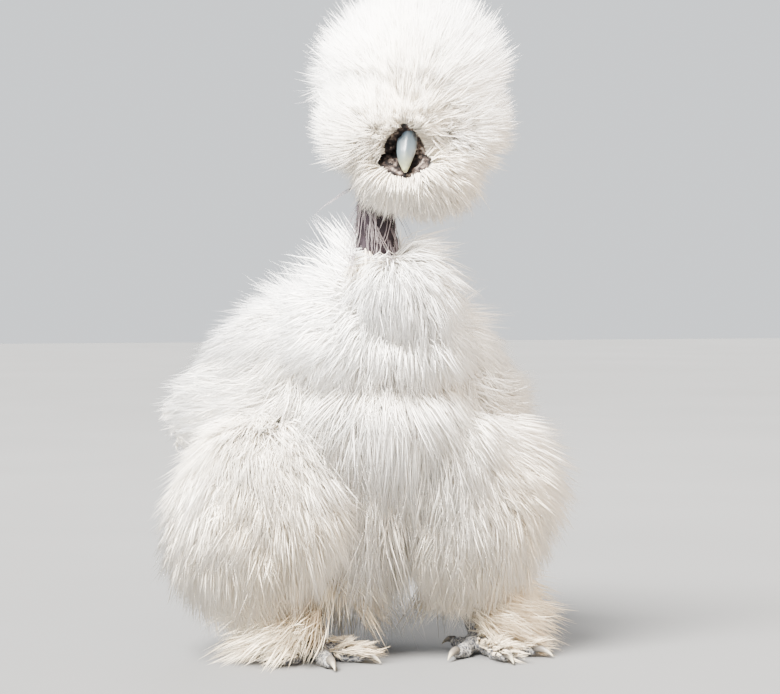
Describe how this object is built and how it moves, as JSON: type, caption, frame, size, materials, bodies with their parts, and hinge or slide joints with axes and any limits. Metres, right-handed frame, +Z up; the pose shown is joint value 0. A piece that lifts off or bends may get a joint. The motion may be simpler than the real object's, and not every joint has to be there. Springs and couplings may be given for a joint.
{
  "type": "silkie chicken",
  "caption": "Life-size standing silkie hen of the bare-necked, crested and bearded kind, with a round pompom head, fluffy body and feathered five-toed feet; a still display model.",
  "frame": {"origin": "on the floor, under the middle of the bird's box", "axes": "+Z up, -Y the way the bird faces, +X to the bird's left"},
  "size_m": [0.2352, 0.2573, 0.3533],
  "materials": {
    "plumage": "soft white silky feathers, cream in the shade",
    "foot_plumage": "soft feathers, cream with soil stains",
    "neck_skin": "bare dark mauve-grey skin, matt",
    "face_skin": "bare mulberry-black skin, matt",
    "foot_skin": "slate-grey scaled skin with pale edges",
    "bill": "slate-blue horn, paler at the tip, satin",
    "claw": "grey-brown horn, satin",
    "eye": "black, glossy"
  },
  "bodies": {
    "root": {"head": "face_skin", "bill_upper": "bill", "bill_lower": "bill", "comb": "face_skin", "eye_right": "eye", "wattle_right": "face_skin", "eye_left": "eye", "wattle_left": "face_skin", "crest": "plumage", "beard": "plumage", "muff_right": "plumage", "muff_left": "plumage", "neck": "neck_skin", "foot_right": "foot_skin", "claw_right_inner": "claw", "claw_right_middle": "claw", "claw_right_outer": "claw", "claw_right_hind": "claw", "claw_right_fifth": "claw", "foot_left": "foot_skin", "claw_left_inner": "claw", "claw_left_middle": "claw", "claw_left_outer": "claw", "claw_left_hind": "claw", "claw_left_fifth": "claw", "torso": "plumage", "thigh_right": "plumage", "thigh_left": "plumage", "wing_right": "plumage", "wing_left": "plumage", "tail": "plumage", "breast_tuft": "plumage", "shank_right": "foot_plumage", "shank_left": "foot_plumage"}
  },
  "joints": []
}
